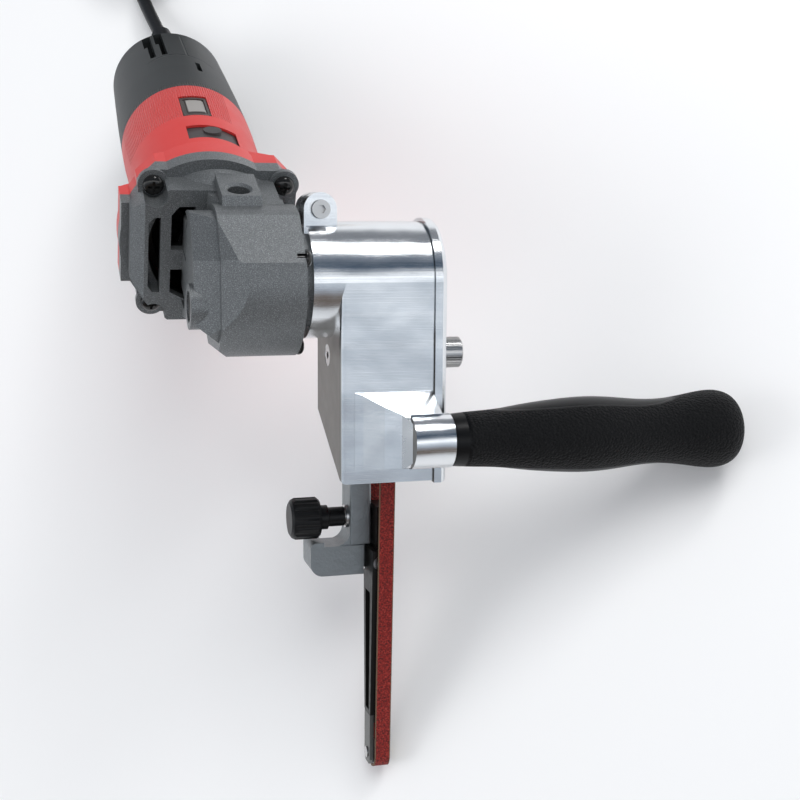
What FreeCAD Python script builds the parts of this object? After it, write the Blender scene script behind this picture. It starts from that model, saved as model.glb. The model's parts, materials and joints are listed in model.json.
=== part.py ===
"""Handheld narrow-belt sander: an angle-grinder motor unit with a clamp-on belt head.

The tool frame, in millimetres: X runs along the spindle toward the side cover and the grip,
Z runs up from the belt's tip to the drive pulley, and the origin is on the spindle's axis,
where the gear case meets the bearing plate. The motor's axis crosses the spindle's axis
and leans MOTOR_LEAN up from the Y axis. Every piece is made in this frame and then moved
to the rest frame, in which the tool lies on a table on its rear cap, belt tip and grip.
"""
import FreeCAD
import Part
import math
import os

Vec = FreeCAD.Vector
X = Vec(1, 0, 0)
Y = Vec(0, 1, 0)
Z = Vec(0, 0, 1)

# Motor unit
MOTOR_LEAN = 24.2
MOTOR_X = -21.8
FLANGE_HALF = 31.0
FLANGE_CORNER = 7.0
FLANGE_ARCH = 35.5
FLANGE_ARCH_U = -2.5
FLANGE_FRONT = 33.0
FLANGE_BACK = 41.0
HOUSING_FLANGE_BACK = 49.0
SEAM = 131.5
REAR_END = 215.7
REAR_RADIUS = 27.7
REAR_ROUND = 4.0
SCREW_PITCH = 51.0
STATOR_RADIUS = 25.4
CORD_EXIT_U = 5.0
CORD_EXIT_V = 6.0

# Gear case, bearing plate and gears
DRUM_RADIUS = 29.0
GEAR_CAVITY = 23.0
FACET_ANGLE = 38.0
FACET_HEIGHT = 26.9
PLATE_FACE = 3.3
NECK_RADIUS = 19.8
NECK_END = 16.9
PLATE_SCREW_CIRCLE = 26.2
LUG_TOP = 32.0
LUG_HOLE_U = 4.6
LUG_HOLE_W = 13.6
HANDLE_HOLE_RADIUS = 4.25
HANDLE_HOLE_BOTTOM = 20.5
HANDLE_COUNTERSINK = 1.0
PINION_TEETH = 12
BEVEL_TEETH = 38
LOCK_RADIUS = 13.4
LOCK_ANGLE = -138.6

# Sander head
HEAD_RADIUS = 22.6
HEAD_LEFT = 17.2
HEAD_RIGHT = 53.8
HEAD_BOTTOM = -76.8
WALL = 3.0
COLLAR_LEFT = 7.1
CLAMP_X = 12.6
CLAMP_Z = 27.2
STUD_Y = 0.5
STUD_Z = -29.6
COVER_RADIUS = 24.0
COVER_FACE = 59.0
NUT_END = 71.5
BOSS_Y = -35.0
BOSS_Z = -58.8
BOSS_RADIUS = 10.4
BOSS_END = 56.0
GRIP_OUTLINE = [
    (9.9, 56.5), (10.6, 66), (11.2, 75), (12.7, 86), (13.9, 97), (14.7, 112), (14.0, 124), (12.95, 135),
    (13.1, 147), (14.4, 156), (15.4, 163), (15.2, 169), (13.0, 173.6), (9.0, 176.0), (4.0, 176.8),
]

# Belt drive
BELT_X = 38.6
BELT_WIDTH = 6.3
BELT_THICKNESS = 0.9
DRIVE_RADIUS = 14.9
IDLER_RADIUS = 5.1
BELT_CLEARANCE = 0.1
CENTRE_DISTANCE = 195.0

# Slider and arm
SLIDER_LEFT = 26.4
SLIDER_RIGHT = 35.1
SLIDER_BACK = 15.0
SLIDER_TOP = -46.0
SLIDER_FOOT = -107.0
HOOK_BOTTOM = -119.0
ROD_X = 30.7
ROD_Y = 8.0
KNOB_Y = 6.0
KNOB_Z = -96.0
KNOB_RADIUS = 8.4
PIVOT_X = 37.4
PIVOT_Z = -113.0
ARM_LEFT = 33.6
ARM_RIGHT = 40.4
ARM_END = -181.0

# Power cord, whose route is in the rest frame
CORD_DIAMETER = 7.0
BOOT_RADIUS = 6.0
BOOT_END_RADIUS = 5.4
COIL_MEAN_RADIUS = 38.0
COIL_TUBE_RADIUS = 10.5
REST_SHIFT = Vec(28.0, -158.8, 0)
CORD_ROUTE = [
    Vec(-164.1, 182.6, 10.6), Vec(-178.5, 199.4, 6.4), Vec(-194.0, 220.7, 3.7), Vec(-210.5, 242.7, 3.7),
]
COIL_CENTRE = Vec(-180.9, 266.4, 10.6)
TAIL_ROUTE = [
    Vec(-187.5, 303.9, 3.8), Vec(-166.0, 307.7, 4.4), Vec(-143.0, 310.2, 8.5), Vec(-119.0, 307.2, 8.6),
]


def frame(origin, x_axis, z_axis):
    """A placement whose local x and z axes are the given directions."""
    z_axis = Vec(z_axis).normalize()
    y_axis = z_axis.cross(x_axis).normalize()
    x_axis = y_axis.cross(z_axis)
    return FreeCAD.Placement(FreeCAD.Matrix(
        x_axis.x, y_axis.x, z_axis.x, origin.x,
        x_axis.y, y_axis.y, z_axis.y, origin.y,
        x_axis.z, y_axis.z, z_axis.z, origin.z,
        0, 0, 0, 1,
    ))


LEAN = math.radians(MOTOR_LEAN)
MOTOR_AXIS = Vec(0, math.cos(LEAN), math.sin(LEAN))
MOTOR_UP = Vec(0, -math.sin(LEAN), math.cos(LEAN))
# In the motor frame x is u, across the tool; -y is v, up; and z is w, rearward along the motor.
MOTOR = frame(Vec(MOTOR_X, 0, 0), X, MOTOR_AXIS)
# In the spindle frame z runs along the tool's X axis.
SPINDLE = frame(Vec(0, 0, 0), Y, X)


def at(placement, shape):
    """A copy of a shape made in a local frame, moved to where the frame is."""
    moved = shape.copy()
    moved.Placement = placement.multiply(moved.Placement)
    return moved


def motor_point(u, v, w):
    return MOTOR.multVec(Vec(u, -v, w))


def rod(radius, start, end):
    axis = end - start
    return Part.makeCylinder(radius, axis.Length, start, axis)


def rod_x(radius, x0, x1, y=0.0, z=0.0):
    return rod(radius, Vec(x0, y, z), Vec(x1, y, z))


def pipe_x(outer, inner, x0, x1, y=0.0, z=0.0):
    return rod_x(outer, x0, x1, y, z).cut(rod_x(inner, x0 - 1, x1 + 1, y, z))


def rod_w(radius, w0, w1, u=0.0, v=0.0):
    """A cylinder along the motor's axis, in the motor frame."""
    return rod(radius, Vec(u, -v, w0), Vec(u, -v, w1))


def pipe_w(outer, inner, w0, w1):
    return rod_w(outer, w0, w1).cut(rod_w(inner, w0 - 1, w1 + 1))


def block(x0, x1, y0, y1, z0, z1):
    return Part.makeBox(x1 - x0, y1 - y0, z1 - z0, Vec(x0, y0, z0))


def motor_block(u0, u1, v0, v1, w0, w1):
    return block(u0, u1, -v1, -v0, w0, w1)


def prism(points, direction):
    """A solid with a polygon for its base, drawn out along a direction."""
    return Part.Face(Part.makePolygon(points + points[:1])).extrude(direction)


def prism_x(points, x0, x1):
    return prism([Vec(x0, y, z) for y, z in points], Vec(x1 - x0, 0, 0))


def prism_w(points, w0, w1):
    """A prism along the motor's axis from (u, v) points, in the motor frame."""
    return prism([Vec(u, -v, w0) for u, v in points], Vec(0, 0, w1 - w0))


def lathe(profile):
    """A solid turned about the local z axis from (radius, z) points."""
    points = [Vec(radius, 0, z) for radius, z in profile]
    face = Part.Face(Part.makePolygon(points + points[:1]))
    return face.revolve(Vec(0, 0, 0), Z, 360)


def smooth_lathe(profile):
    """A solid turned about the local z axis, its outline a smooth curve through the points."""
    points = [Vec(radius, 0, z) for radius, z in profile]
    curve = Part.BSplineCurve()
    curve.interpolate(points)
    edges = [
        curve.toShape(),
        Part.makeLine(points[-1], Vec(0, 0, points[-1].z)),
        Part.makeLine(Vec(0, 0, points[-1].z), Vec(0, 0, points[0].z)),
        Part.makeLine(Vec(0, 0, points[0].z), points[0]),
    ]
    return Part.Face(Part.Wire(edges)).revolve(Vec(0, 0, 0), Z, 360)


def ring_of(count, shape, axis_point, axis, first=0.0):
    """Copies of a shape, evenly turned about an axis."""
    copies = []
    for i in range(count):
        copy = shape.copy()
        copy.rotate(axis_point, axis, first + 360.0 * i / count)
        copies.append(copy)
    return copies


def fuse(shapes):
    return shapes[0].multiFuse(list(shapes[1:])).removeSplitter()


def coil_spring(radius, wire, turns, start, length):
    """The outer form of a wound spring along the local z axis: a sleeve with a crest for each turn."""
    pitch = length / turns
    crests = []
    for i in range(turns):
        crests += [(radius + 0.3 * wire, start + i * pitch), (radius + wire, start + (i + 0.5) * pitch)]
    crests.append((radius + 0.3 * wire, start + length))
    return lathe([(radius - wire, start)] + crests + [(radius - wire, start + length)])


def octagon(half, corner):
    inner = half - corner
    return [
        (-half, -inner), (-inner, -half), (inner, -half), (half, -inner),
        (half, inner), (inner, half), (-inner, half), (-half, inner),
    ]


def flange(w0, w1, inset=0.0):
    """The joint's outline: corner lobes for the screws, an arch over the fan and a flat left side."""
    arch = rod_w(FLANGE_ARCH - inset, w0, w1, FLANGE_ARCH_U)
    arch = arch.common(motor_block(-60, FLANGE_HALF - inset, -60, 60, w0, w1))
    side = motor_block(FLANGE_ARCH_U - FLANGE_ARCH + 0.6 + inset, 0, -17, 17, w0, w1)
    return fuse([prism_w(octagon(FLANGE_HALF - inset, FLANGE_CORNER), w0, w1), arch, side])


def flange_corners():
    half = SCREW_PITCH / 2
    return [(u, v) for u in (-half, half) for v in (-half, half)]


def half_space(point, outward):
    """A thick slab on the outer side of a plane, for cutting a flat on a casting."""
    slab = Part.makeBox(160, 160, 60, Vec(-80, -80, 0))
    return at(frame(point, Y, outward), slab)


def facet():
    """What lies in front of the flat cast on the upper front of the gear drum."""
    angle = math.radians(FACET_ANGLE)
    outward = Vec(0, -math.cos(angle), math.sin(angle))
    return half_space(outward * FACET_HEIGHT, outward)


def drum():
    """The gear drum in the tool frame: a cylinder whose far end steps in and is cut by three flats."""
    flats = [
        (Vec(-20, -28, 9), Vec(-0.455, -0.797, 0.425)),
        (Vec(-20, -28, 9), Vec(-0.496, -0.868, 0.0)),
        (Vec(-27, 0, -25.8), Vec(-0.62, 0.0, -0.785)),
    ]
    body = []
    for radius, x0, x1, inset in ((DRUM_RADIUS, -27.6, 0.0, 0.0), (DRUM_RADIUS - 2.4, -36.6, -27.0, 2.4)):
        part = rod_x(radius, x0, x1)
        for point, outward in flats:
            part = part.cut(half_space(point - Vec(outward).normalize() * inset, outward))
        body.append(part)
    return fuse(body)


# Motor unit -----------------------------------------------------------------------------


def motor_housing():
    """The moulded body: a screw flange in front, shoulders and a slightly barrelled tube."""
    shoulder = lathe([(0, 47), (43, 47), (34.0, 54), (28.4, 64), (0, 64)]).common(flange(40, 70, 0.8))
    tube = lathe([(0, 45), (27.8, 45), (28.0, 70), (29.0, 96), (29.6, 118), (29.6, SEAM), (0, SEAM)])
    body = fuse([flange(FLANGE_BACK, HOUSING_FLANGE_BACK), shoulder, tube])
    body = body.cut(rod_w(24.6, 40, 60))
    body = body.cut(rod_w(STATOR_RADIUS + 0.1, 57, SEAM - 3.5))
    body = body.cut(rod_w(27.2, SEAM - 3.5, SEAM + 1))
    for u, v in flange_corners():
        body = body.cut(rod_w(1.75, 40, 48, u, v))
    # Brush windows, above and below.
    for side in (1, -1):
        window = motor_block(-6.6, 5.6, 20, 40, 97.0, 118.5)
        if side < 0:
            window.rotate(Vec(0, 0, 0), Z, 180)
        body = body.cut(window)
    # The switch slider's pocket is inside the wall and its window goes through it.
    pocket = pipe_w(27.6, 26.1, 64.5, 91.5).common(motor_block(-8.4, 15.8, 10, 40, 60, 96))
    window = motor_block(-6.8, 14.4, 10, 40, 74.0, 86.5)
    return at(MOTOR, body.cut(pocket).cut(window.cut(rod_w(26.1, 70, 90))))


def rear_cover():
    """The charcoal cap: a hollow cup with stepped air slots above and below."""
    outer = lathe([
        (0, SEAM), (29.6, SEAM), (29.2, 160), (28.4, 190), (REAR_RADIUS, REAR_END - REAR_ROUND),
        (REAR_RADIUS - 1.2, REAR_END - 1.2), (REAR_RADIUS - REAR_ROUND, REAR_END), (0, REAR_END),
    ])
    outer = outer.cut(rod_w(26.6, SEAM - 1, 170)).cut(rod_w(25.2, 165, REAR_END - 3.0))
    # A spigot that enters the motor housing.
    spigot = pipe_w(27.1, 25.6, SEAM - 3.4, SEAM + 0.5)
    cover = fuse([outer, spigot])
    cover = cover.cut(rod_w(BOOT_RADIUS + 0.1, REAR_END - 8, REAR_END + 1, CORD_EXIT_U, CORD_EXIT_V))
    for turn in (0, 180):
        for u in (-12.2, -6.8):
            wide = motor_block(u - 2.0, u + 2.0, 15, 40, 196, 212.5)
            narrow = motor_block(u - 0.6, u + 2.0, 15, 40, 178, 196.5)
            for slot in (wide, narrow):
                slot.rotate(Vec(0, 0, 0), Z, turn)
                cover = cover.cut(slot)
        small = motor_block(6.8, 9.0, 15, 40, 155.5, 167.5)
        small.rotate(Vec(0, 0, 0), Z, turn)
        cover = cover.cut(small)
    for v in (18.0, -18.0):
        cover = cover.cut(rod_w(1.7, REAR_END - 8, REAR_END + 1, -12.0, v))
    return at(MOTOR, cover)


def gear_case():
    """The cast case: a flange, a fan shroud with air slots, and a gear drum across it."""
    shroud = lathe([(0, 20.5), (20, 20.5), (28.5, 26), (31.8, 33.5), (0, 33.5)])
    nose = prism_w([(-34.5, -12), (-28, -21), (-20, -28), (12, -28), (12, 28), (-20, 28), (-28, 25), (-34.5, 17)],
                   20.5, 33.5)
    nose = nose.cut(prism([Vec(-36, 60, 20), Vec(-29, 60, 20), Vec(-36, 60, 28)], Vec(0, -120, 0)))
    saddle = motor_block(-6.0, 21.8, -27.0, 27.0, 6.0, 34.0)
    saddle = saddle.cut(prism([Vec(-6.1, 40, 5), Vec(1.5, 40, 5), Vec(-6.1, 40, 20)], Vec(0, -80, 0)))
    wing = motor_block(21.7, 27.5, -17, 17, 24, 34)
    case = [flange(FLANGE_FRONT, FLANGE_BACK), shroud, nose, at(MOTOR.inverse(), drum()), saddle, wing]
    for u, v in flange_corners():
        case.append(rod_w(6.0, 31.5, 34.0, u, v))
    # Side handle lugs, above and below.
    for side in (1, -1):
        inner, outer = -20.0 * side, -LUG_TOP * side
        outline = [Vec(-2.6, inner, 1.5), Vec(-2.6, outer, 7.0), Vec(-2.6, outer, 27.5), Vec(-2.6, inner, 27.5)]
        case.append(prism(outline, X * 15.0))
    # A collar round the spindle lock's button.
    lock = lock_centre_motor()
    case.append(rod(8.6, lock + X * 5, lock - X * 16.2))
    body = fuse(case)
    # Gear cavity, fan cavity, bearing seats.
    cavity = fuse([
        rod(GEAR_CAVITY, Vec(3.8, 0, 0), Vec(21.9, 0, 0)), rod(GEAR_CAVITY - 4.0, Vec(-6.2, 0, 0), Vec(4.8, 0, 0)),
    ])
    body = body.cut(rod_w(27.4, 27.4, FLANGE_BACK + 1))
    body = fuse([body, rod_w(16.0, 20.6, 31.5)]).cut(cavity)
    body = body.cut(rod_w(13.05, 23.4, 32.0)).cut(rod_w(8.0, 15, 24))
    body = body.cut(rod(6.55, Vec(-12.2, 0, 0), Vec(-5, 0, 0)))
    # Air slots through the shroud's nose.
    slots = [
        [(-28.0, 14.0), (-26.0, 16.5), (-23.4, 16.5), (-23.4, -15.6), (-26.2, -15.6), (-28.0, -13.0)],
        [(-19.4, 2.8), (-19.4, 17.5), (-16.5, 21.1), (-10.2, 21.1), (-10.2, 16.6), (-14.4, 15.6), (-14.4, 2.8)],
        [(-19.4, -5.6), (-14.4, -5.6), (-14.4, -14.4), (-10.4, -17.2), (-10.4, -20.6), (-19.4, -15.6)],
    ]
    for outline in slots:
        body = body.cut(prism_w(outline, 10, 28))
    for u, v in flange_corners():
        body = body.cut(rod_w(2.1, 30, FLANGE_BACK + 1, u, v)).cut(rod_w(4.7, 15, 31.5, u, v))
    for side in (1, -1):
        outward = Y * -side
        axis_point = Vec(LUG_HOLE_U, 0, LUG_HOLE_W)
        body = body.cut(rod(HANDLE_HOLE_RADIUS, axis_point + outward * HANDLE_HOLE_BOTTOM,
                            axis_point + outward * (LUG_TOP + 1)))
        body = body.cut(Part.makeCone(HANDLE_HOLE_RADIUS, HANDLE_HOLE_RADIUS + 2, 2,
                                      axis_point + outward * (LUG_TOP - HANDLE_COUNTERSINK), outward))
    body = body.cut(rod(6.0, lock - X * 7.6, lock - X * 20))
    body = body.cut(rod(2.6, lock + X * 6, lock - X * 20))
    case = at(MOTOR, body).cut(facet())
    case = case.cut(rod_x(DRUM_RADIUS + 0.5, 0, 25))
    for hole in plate_screw_places():
        case = case.cut(rod(1.5, hole - X * 9, hole + X * 2))
    return case


def lock_centre_motor():
    """The lock pin's axis where it crosses the motor's plane, in the motor frame."""
    angle = math.radians(LOCK_ANGLE)
    place = Vec(MOTOR_X, LOCK_RADIUS * math.cos(angle), LOCK_RADIUS * math.sin(angle))
    return MOTOR.inverse().multVec(place)


def plate_screw_places():
    """Where the bearing plate's four screws cross the gear case's face."""
    places = []
    for i in range(4):
        angle = LEAN + math.radians(45 + 90 * i)
        places.append(Vec(0, math.cos(angle), math.sin(angle)) * PLATE_SCREW_CIRCLE)
    return places


def bearing_plate():
    """The plate that closes the gear case, with the neck that the belt head clamps on."""
    plate = rod_x(DRUM_RADIUS, 0, PLATE_FACE).cut(facet())
    neck = rod_x(NECK_RADIUS, PLATE_FACE - 0.5, NECK_END)
    rib = block(PLATE_FACE - 0.5, 5.6, -2.2, 2.2, NECK_RADIUS - 1, NECK_RADIUS + 1.2)
    spigot = rod_x(GEAR_CAVITY - 0.05, -2.4, 0.5)
    body = fuse([plate, neck, spigot] + ring_of(8, rib, Vec(0, 0, 0), X, 20))
    body = body.cut(rod_x(16.02, 1.0, 11.1)).cut(rod_x(13.0, -3, 1.5)).cut(rod_x(7.2, 11, NECK_END + 1))
    for hole in plate_screw_places():
        body = body.cut(rod(2.1, hole - X, hole + X * 5))
    return body


def pan_head_screw(radius, height, shank_radius, length):
    """A pan-head screw with its underside at z = 0 and its shank along -z."""
    head = smooth_lathe([(radius, 0), (radius * 0.96, height * 0.45), (radius * 0.7, height * 0.85),
                         (0.05, height)])
    screw = fuse([head, Part.makeCylinder(shank_radius, length, Vec(0, 0, -length))])
    slot = radius * 1.1
    cross = fuse([
        block(-slot / 2, slot / 2, -0.5, 0.5, height * 0.4, height + 1),
        block(-0.5, 0.5, -slot / 2, slot / 2, height * 0.4, height + 1),
    ])
    return screw.cut(cross)


def gear_case_screws():
    screw = pan_head_screw(4.0, 2.9, 1.7, 14.0)
    toward_nose = frame(Vec(0, 0, 0), X, Vec(0, 0, -1))
    screws = []
    for u, v in flange_corners():
        moved = at(toward_nose, screw)
        moved.translate(Vec(u, -v, 31.5))
        screws.append(at(MOTOR, moved))
    return Part.makeCompound(screws)


def bearing_plate_screws():
    screw = at(frame(Vec(0, 0, 0), Y, X), pan_head_screw(3.4, 2.3, 1.45, 11.0))
    screws = []
    for place in plate_screw_places():
        moved = screw.copy()
        moved.translate(place + X * PLATE_FACE)
        screws.append(moved)
    return Part.makeCompound(screws)


def stator_core():
    """Laminated ring with two pole shoes."""
    ring = pipe_w(STATOR_RADIUS, 20.5, 62, 92)
    poles = pipe_w(20.8, 15.6, 62, 92).common(fuse([
        motor_block(-14, 14, 6, 22, 62, 92), motor_block(-14, 14, -22, -6, 62, 92)]))
    return at(MOTOR, fuse([ring, poles]))


def stator_coils():
    """Two field coils, whose ends stand out of the core."""
    coils = []
    for side in (1, -1):
        arch = pipe_w(20.3, 16.2, 57.4, 96.6).common(motor_block(-19.8, 19.8, 1.0, 22, 57, 97))
        arch = arch.cut(motor_block(-14.2, 14.2, 0, 23, 61.7, 92.3))
        if side < 0:
            arch.rotate(Vec(0, 0, 0), Z, 180)
        coils.append(at(MOTOR, arch))
    return Part.makeCompound(coils)


def both_sides(shape):
    other = shape.copy()
    other.rotate(Vec(0, 0, 0), Z, 180)
    return Part.makeCompound([at(MOTOR, shape), at(MOTOR, other)])


def brush_holders():
    holder = motor_block(-4.6, 4.6, 13.2, 25.2, 104, 114)
    return both_sides(holder.cut(motor_block(-3.1, 3.1, 13.0, 26.0, 106.0, 112.0)))


def carbon_brushes():
    return both_sides(motor_block(-3.0, 3.0, 12.1, 19.0, 106.1, 111.9))


def brush_springs():
    spring = at(frame(Vec(0, -19.5, 109), X, Vec(0, -1, 0)), coil_spring(1.9, 0.35, 4, 0, 4.5))
    return both_sides(spring)


def brush_covers():
    """Clip-in lids of the brush windows, each a frame with a raised plate."""
    skin = pipe_w(29.0, 26.9, 97.3, 118.2)
    lid = skin.common(motor_block(-6.3, 5.3, 20, 40, 97.3, 118.2))
    lid = lid.cut(motor_block(-5.2, 4.2, 28.2, 40, 99.2, 116.2))
    plate = pipe_w(28.9, 27.0, 100.2, 115.0).common(motor_block(-4.2, 3.2, 20, 40, 100.2, 115.0))
    latch = motor_block(-2.2, 1.4, 26.5, 28.7, 114.6, 117.6)
    return both_sides(fuse([lid, plate, latch]))


def bearing(outer, inner, z0, z1):
    """A ball bearing as one solid with a groove on each face between its two rings."""
    middle = (outer + inner) / 2
    race = (outer - inner) * 0.14
    body = Part.makeCylinder(outer, z1 - z0, Vec(0, 0, z0)).cut(
        Part.makeCylinder(inner, z1 - z0 + 2, Vec(0, 0, z0 - 1)))
    for start in (z0 - 1, z1 - 0.6):
        groove = Part.makeCylinder(middle + race, 1.6, Vec(0, 0, start)).cut(
            Part.makeCylinder(middle - race, 1.6, Vec(0, 0, start)))
        body = body.cut(groove)
    return body


def motor_bearings():
    front = bearing(13.0, 4.55, 23.5, 31.4)
    rear = bearing(9.5, 3.55, 120.0, 126.0)
    return Part.makeCompound([at(MOTOR, front), at(MOTOR, rear)])


def air_baffle():
    """A plastic ring that leads air from the stator to the fan and carries the rear bearing's spider."""
    ring = lathe([(22.0, 49.5), (24.4, 49.5), (24.4, 56.4), (23.4, 56.4), (19.6, 52.0), (19.6, 50.2)])
    return at(MOTOR, ring)


def rear_bearing_bridge():
    """The cross-piece behind the commutator that seats the motor's rear bearing."""
    seat = pipe_w(12.0, 9.55, 119.6, 127.4)
    bar = motor_block(-25.3, 25.3, -5.0, 5.0, 121.0, 127.0).cut(rod_w(11.0, 119, 129))
    hub = rod_w(10.5, 126.2, 128.2)
    return at(MOTOR, fuse([seat, bar.common(rod_w(25.3, 119, 129)), hub]))


def switch_block():
    body = motor_block(-9.0, 9.0, -15.0, 8.0, 140, 172)
    tabs = [motor_block(u - 1.5, u + 1.5, -12.0, -11.0, 171.5, 180) for u in (-5.0, 5.0)]
    return at(MOTOR, fuse([body] + tabs))


def cord_clamp():
    """The bar and saddle that grip the cord inside the cap."""
    saddle = motor_block(CORD_EXIT_U - 9, CORD_EXIT_U + 9, 0.5, 4.2, 190, 200)
    bar = motor_block(CORD_EXIT_U - 9, CORD_EXIT_U + 9, 10.0, 12.4, 190, 200)
    posts = [rod(1.6, Vec(CORD_EXIT_U + side * 7, -12.4, 195), Vec(CORD_EXIT_U + side * 7, -3.0, 195))
             for side in (1, -1)]
    clamp = fuse([saddle, bar] + posts)
    return at(MOTOR, clamp.cut(rod_w(CORD_DIAMETER / 2, 188, 202, CORD_EXIT_U, CORD_EXIT_V)))


def rear_cover_screws():
    screw = pan_head_screw(2.9, 2.0, 1.4, 9.0)
    screws = []
    for v in (18.0, -18.0):
        moved = screw.copy()
        moved.translate(Vec(-12.0, -v, REAR_END))
        screws.append(at(MOTOR, moved))
    return Part.makeCompound(screws)


def spindle_bearings():
    front = at(SPINDLE, bearing(16.0, 6.03, 1.05, 11.0))
    rear = at(SPINDLE, bearing(6.5, 4.03, MOTOR_X - 12.1, MOTOR_X - 6.3))
    return Part.makeCompound([front, rear])


# Rotor ----------------------------------------------------------------------------------


def armature_shaft():
    return at(MOTOR, lathe([
        (0, 10.6), (2.9, 10.6), (2.9, 21.9), (4.5, 21.9), (4.5, 60.0), (5.0, 60.0), (5.0, 96.0),
        (4.2, 96.0), (4.2, 119.5), (3.5, 119.5), (3.5, 126.0), (0, 126.0),
    ]))


def armature_core():
    core = pipe_w(15.1, 5.0, 62, 92)
    slot = motor_block(-0.9, 0.9, 12.2, 16, 61, 93)
    for cut in ring_of(12, slot, Vec(0, 0, 0), Z):
        core = core.cut(cut)
    return at(MOTOR, core)


def armature_windings():
    ends = [lathe([(5.2, w0), (12.8, w0), (13.6, (w0 + w1) / 2), (12.8, w1), (5.2, w1)])
            for w0, w1 in ((55.6, 61.9), (92.1, 99.0))]
    return Part.makeCompound([at(MOTOR, end) for end in ends])


def commutator():
    body = pipe_w(11.6, 4.25, 101.0, 117.0)
    slot = motor_block(-0.3, 0.3, 10.8, 12.5, 100, 118)
    for cut in ring_of(18, slot, Vec(0, 0, 0), Z):
        body = body.cut(cut)
    return at(MOTOR, body)


def cooling_fan():
    disc = lathe([(4.55, 34.0), (8.5, 34.0), (8.5, 44.0), (21.5, 46.4), (21.5, 47.8), (4.55, 47.8)])
    blade = motor_block(-0.7, 0.7, 7.8, 21.0, 36.0, 46.8)
    return at(MOTOR, fuse([disc] + ring_of(14, blade, Vec(0, 0, 0), Z)))


def pinion_gear():
    """A bevel pinion whose pitch cone meets the spindle's axis."""
    cone = math.atan(PINION_TEETH / BEVEL_TEETH)
    w0, w1 = 12.4, 20.2
    tip0, tip1 = w0 * math.tan(cone), w1 * math.tan(cone)
    body = lathe([(2.92, w0), (tip0, w0), (tip1, w1), (tip1 * 0.8, w1 + 1.4), (2.92, w1 + 1.4)])
    groove = prism([Vec(-0.5, tip0 - 0.75, w0 - 1), Vec(0.5, tip0 - 0.75, w0 - 1), Vec(0.9, tip0 + 3, w0 - 1),
                    Vec(-0.9, tip0 + 3, w0 - 1)], Vec(0, (w1 - w0 + 3) * math.tan(cone), w1 - w0 + 3))
    for cut in ring_of(PINION_TEETH, groove, Vec(0, 0, 0), Z):
        body = body.cut(cut)
    return at(MOTOR, body)


# Spindle --------------------------------------------------------------------------------


def spindle_shaft():
    return at(SPINDLE, lathe([
        (0, MOTOR_X - 11.9), (4.0, MOTOR_X - 11.9), (4.0, -25.5), (6.0, -24.5), (6.0, -5.6), (8.0, -5.6),
        (8.0, 0.9), (6.0, 0.9), (6.0, 26.0), (5.0, 26.0), (5.0, 51.0), (0, 51.0),
    ]))


def bevel_gear():
    """The crown wheel, with lock holes in its back half."""
    cone = math.atan(PINION_TEETH / BEVEL_TEETH)
    apex = MOTOR_X
    gap = 0.45
    inner, outer = 12.6, 20.4
    x_in = apex + inner * math.tan(cone) + gap
    x_out = apex + outer * math.tan(cone) + gap
    body = lathe([(6.02, x_in + 1.2), (inner - 1, x_in + 1.2), (inner, x_in), (outer, x_out), (outer + 0.4, x_out + 1.0),
                  (17.0, -8.5), (10.0, -5.8), (6.02, -5.8)])
    groove = prism([Vec(inner - 2, -0.55, x_in - 0.6), Vec(inner - 2, 0.55, x_in - 0.6),
                    Vec(inner - 2, 0.3, x_in + 0.9), Vec(inner - 2, -0.3, x_in + 0.9)],
                   Vec(12, 0, 12 * math.tan(cone)))
    for cut in ring_of(BEVEL_TEETH, groove, Vec(0, 0, 0), Z):
        body = body.cut(cut)
    return at(SPINDLE, body)


def drive_pulley():
    crown = smooth_lathe([(DRIVE_RADIUS - 0.25, BELT_X - 4.2), (DRIVE_RADIUS, BELT_X), (DRIVE_RADIUS - 0.25, BELT_X + 4.2)])
    hub = Part.makeCylinder(8.0, 9.0, Vec(0, 0, 26.0))
    body = fuse([crown, hub]).cut(Part.makeCylinder(5.02, 40, Vec(0, 0, 20)))
    dish = lathe([(8.5, BELT_X + 2.2), (12.2, BELT_X + 2.2), (12.2, BELT_X + 6), (8.5, BELT_X + 6)])
    return at(SPINDLE, body.cut(dish))


def pulley_nut():
    points = [Vec(9.2 * math.cos(math.radians(60 * i)), 9.2 * math.sin(math.radians(60 * i)), 43.0)
              for i in range(6)]
    nut = prism(points, Vec(0, 0, 6.5)).common(lathe([(0, 42), (8.2, 43), (9.4, 44), (9.4, 48.6), (8.2, 49.6), (0, 50)]))
    return at(SPINDLE, nut.cut(Part.makeCylinder(5.02, 20, Vec(0, 0, 40))))


# Spindle lock and switch ----------------------------------------------------------------


def lock_button():
    lock = MOTOR.multVec(lock_centre_motor())
    head = frame(lock, Y, X)
    body = fuse([
        lathe([(0, -15.6), (4.8, -15.6), (5.8, -14.8), (5.8, -13.2), (0, -13.2)]),
        Part.makeCylinder(2.5, 13.2, Vec(0, 0, -13.4)),
    ])
    return at(head, body)


def lock_spring():
    lock = MOTOR.multVec(lock_centre_motor())
    return at(frame(lock, Y, X), coil_spring(3.7, 0.5, 2, -9.6, 1.9))


def switch_slider():
    """A curved plate under the housing's skin with a round thumb rest in its window."""
    plate = pipe_w(27.4, 26.3, 69.5, 90.5).common(motor_block(-7.6, 15.0, 10, 40, 60, 96))
    thumb = rod(3.8, Vec(3.8, -20, 81.9), Vec(3.8, -28.3, 81.9)).cut(rod_w(26.3, 60, 96))
    return at(MOTOR, fuse([plate, thumb]))


# Belt head ------------------------------------------------------------------------------


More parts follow.
